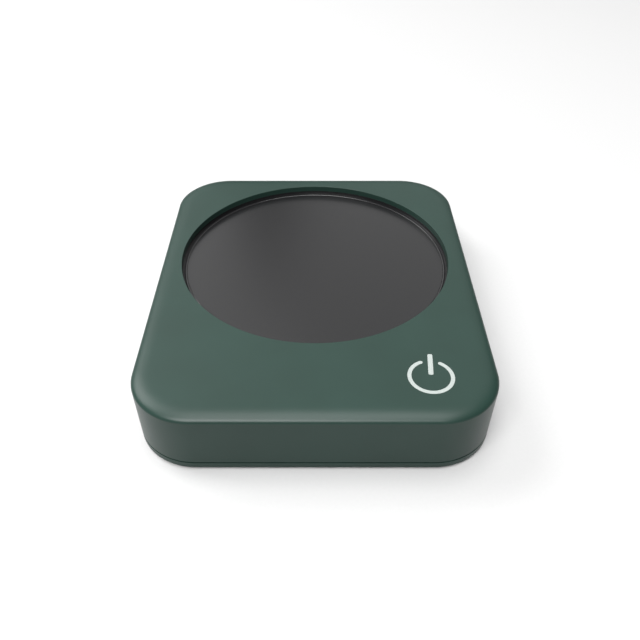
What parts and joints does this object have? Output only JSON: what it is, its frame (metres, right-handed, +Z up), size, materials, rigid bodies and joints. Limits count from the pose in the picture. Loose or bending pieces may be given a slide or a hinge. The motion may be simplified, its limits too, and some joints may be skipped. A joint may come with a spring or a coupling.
{
  "type": "electric mug warmer",
  "caption": "Flat rounded housing with a round recessed glass warming plate, a flush touch key and a barrel power inlet, on rubber feet.",
  "frame": {"origin": "under the middle of the housing, on the table that the rubber feet stand on", "axes": "+X to the user's right, +Y to the back, where the power inlet is, and +Z up"},
  "size_m": [0.11, 0.135, 0.023],
  "materials": {
    "housing": "dark green ABS with a fine satin texture",
    "light_guide": "milky white diffusing polycarbonate",
    "black_glass": "toughened glass, printed black on the back, satin top",
    "black_plastic": "black heat-resistant plastic",
    "grey_rubber": "grey silicone rubber",
    "clear_silicone": "translucent silicone bead",
    "black_rubber": "matt black rubber",
    "aluminium": "rolled sheet",
    "polyimide": "amber polyimide film",
    "foil": "etched resistance foil",
    "felt": "needled ceramic-fibre felt",
    "steel": "zinc-plated steel",
    "fuse_ceramic": "glazed ceramic body with tinned leads",
    "circuit_board": "green solder mask on glass epoxy",
    "can_sleeve": "dark blue shrink sleeve",
    "cream_nylon": "natural nylon",
    "plated_brass": "nickel-plated brass",
    "supply_insulation": "red and black PVC insulation",
    "heater_insulation": "white glass-braid insulation",
    "sensor_insulation": "black PVC insulation"
  },
  "bodies": {
    "root": {"top_cover": "housing", "base_cover": "housing", "power_symbol": "light_guide", "warming_plate": "black_glass", "plate_ring": "black_plastic", "ring_gasket": "grey_rubber", "plate_bond": "clear_silicone", "heat_spreader": "aluminium", "heater_film": "polyimide", "heater_track": "foil", "insulation_pad": "felt", "heater_clamp": "steel", "clamp_screws": "steel", "ring_screws": "steel", "thermistor": "black_plastic", "thermistor_clip": "steel", "thermal_fuse": "fuse_ceramic", "fuse_clip": "steel", "control_board": "circuit_board", "microcontroller": "black_plastic", "power_transistor": "black_plastic", "filter_capacitor": "can_sleeve", "chip_resistors": "black_plastic", "key_led": "light_guide", "light_box": "black_plastic", "touch_spring": "steel", "supply_header": "cream_nylon", "heater_header": "cream_nylon", "sensor_header": "cream_nylon", "supply_plug": "cream_nylon", "heater_plug": "cream_nylon", "sensor_plug": "cream_nylon", "dc_socket": "black_plastic", "socket_pin": "plated_brass", "socket_contact": "plated_brass", "cover_screws": "steel", "board_screws": "steel", "foot_front_left": "black_rubber", "foot_front_right": "black_rubber", "foot_back_left": "black_rubber", "foot_back_right": "black_rubber", "supply_wires": "supply_insulation", "heater_wires": "heater_insulation", "sensor_wires": "sensor_insulation"}
  },
  "joints": []
}
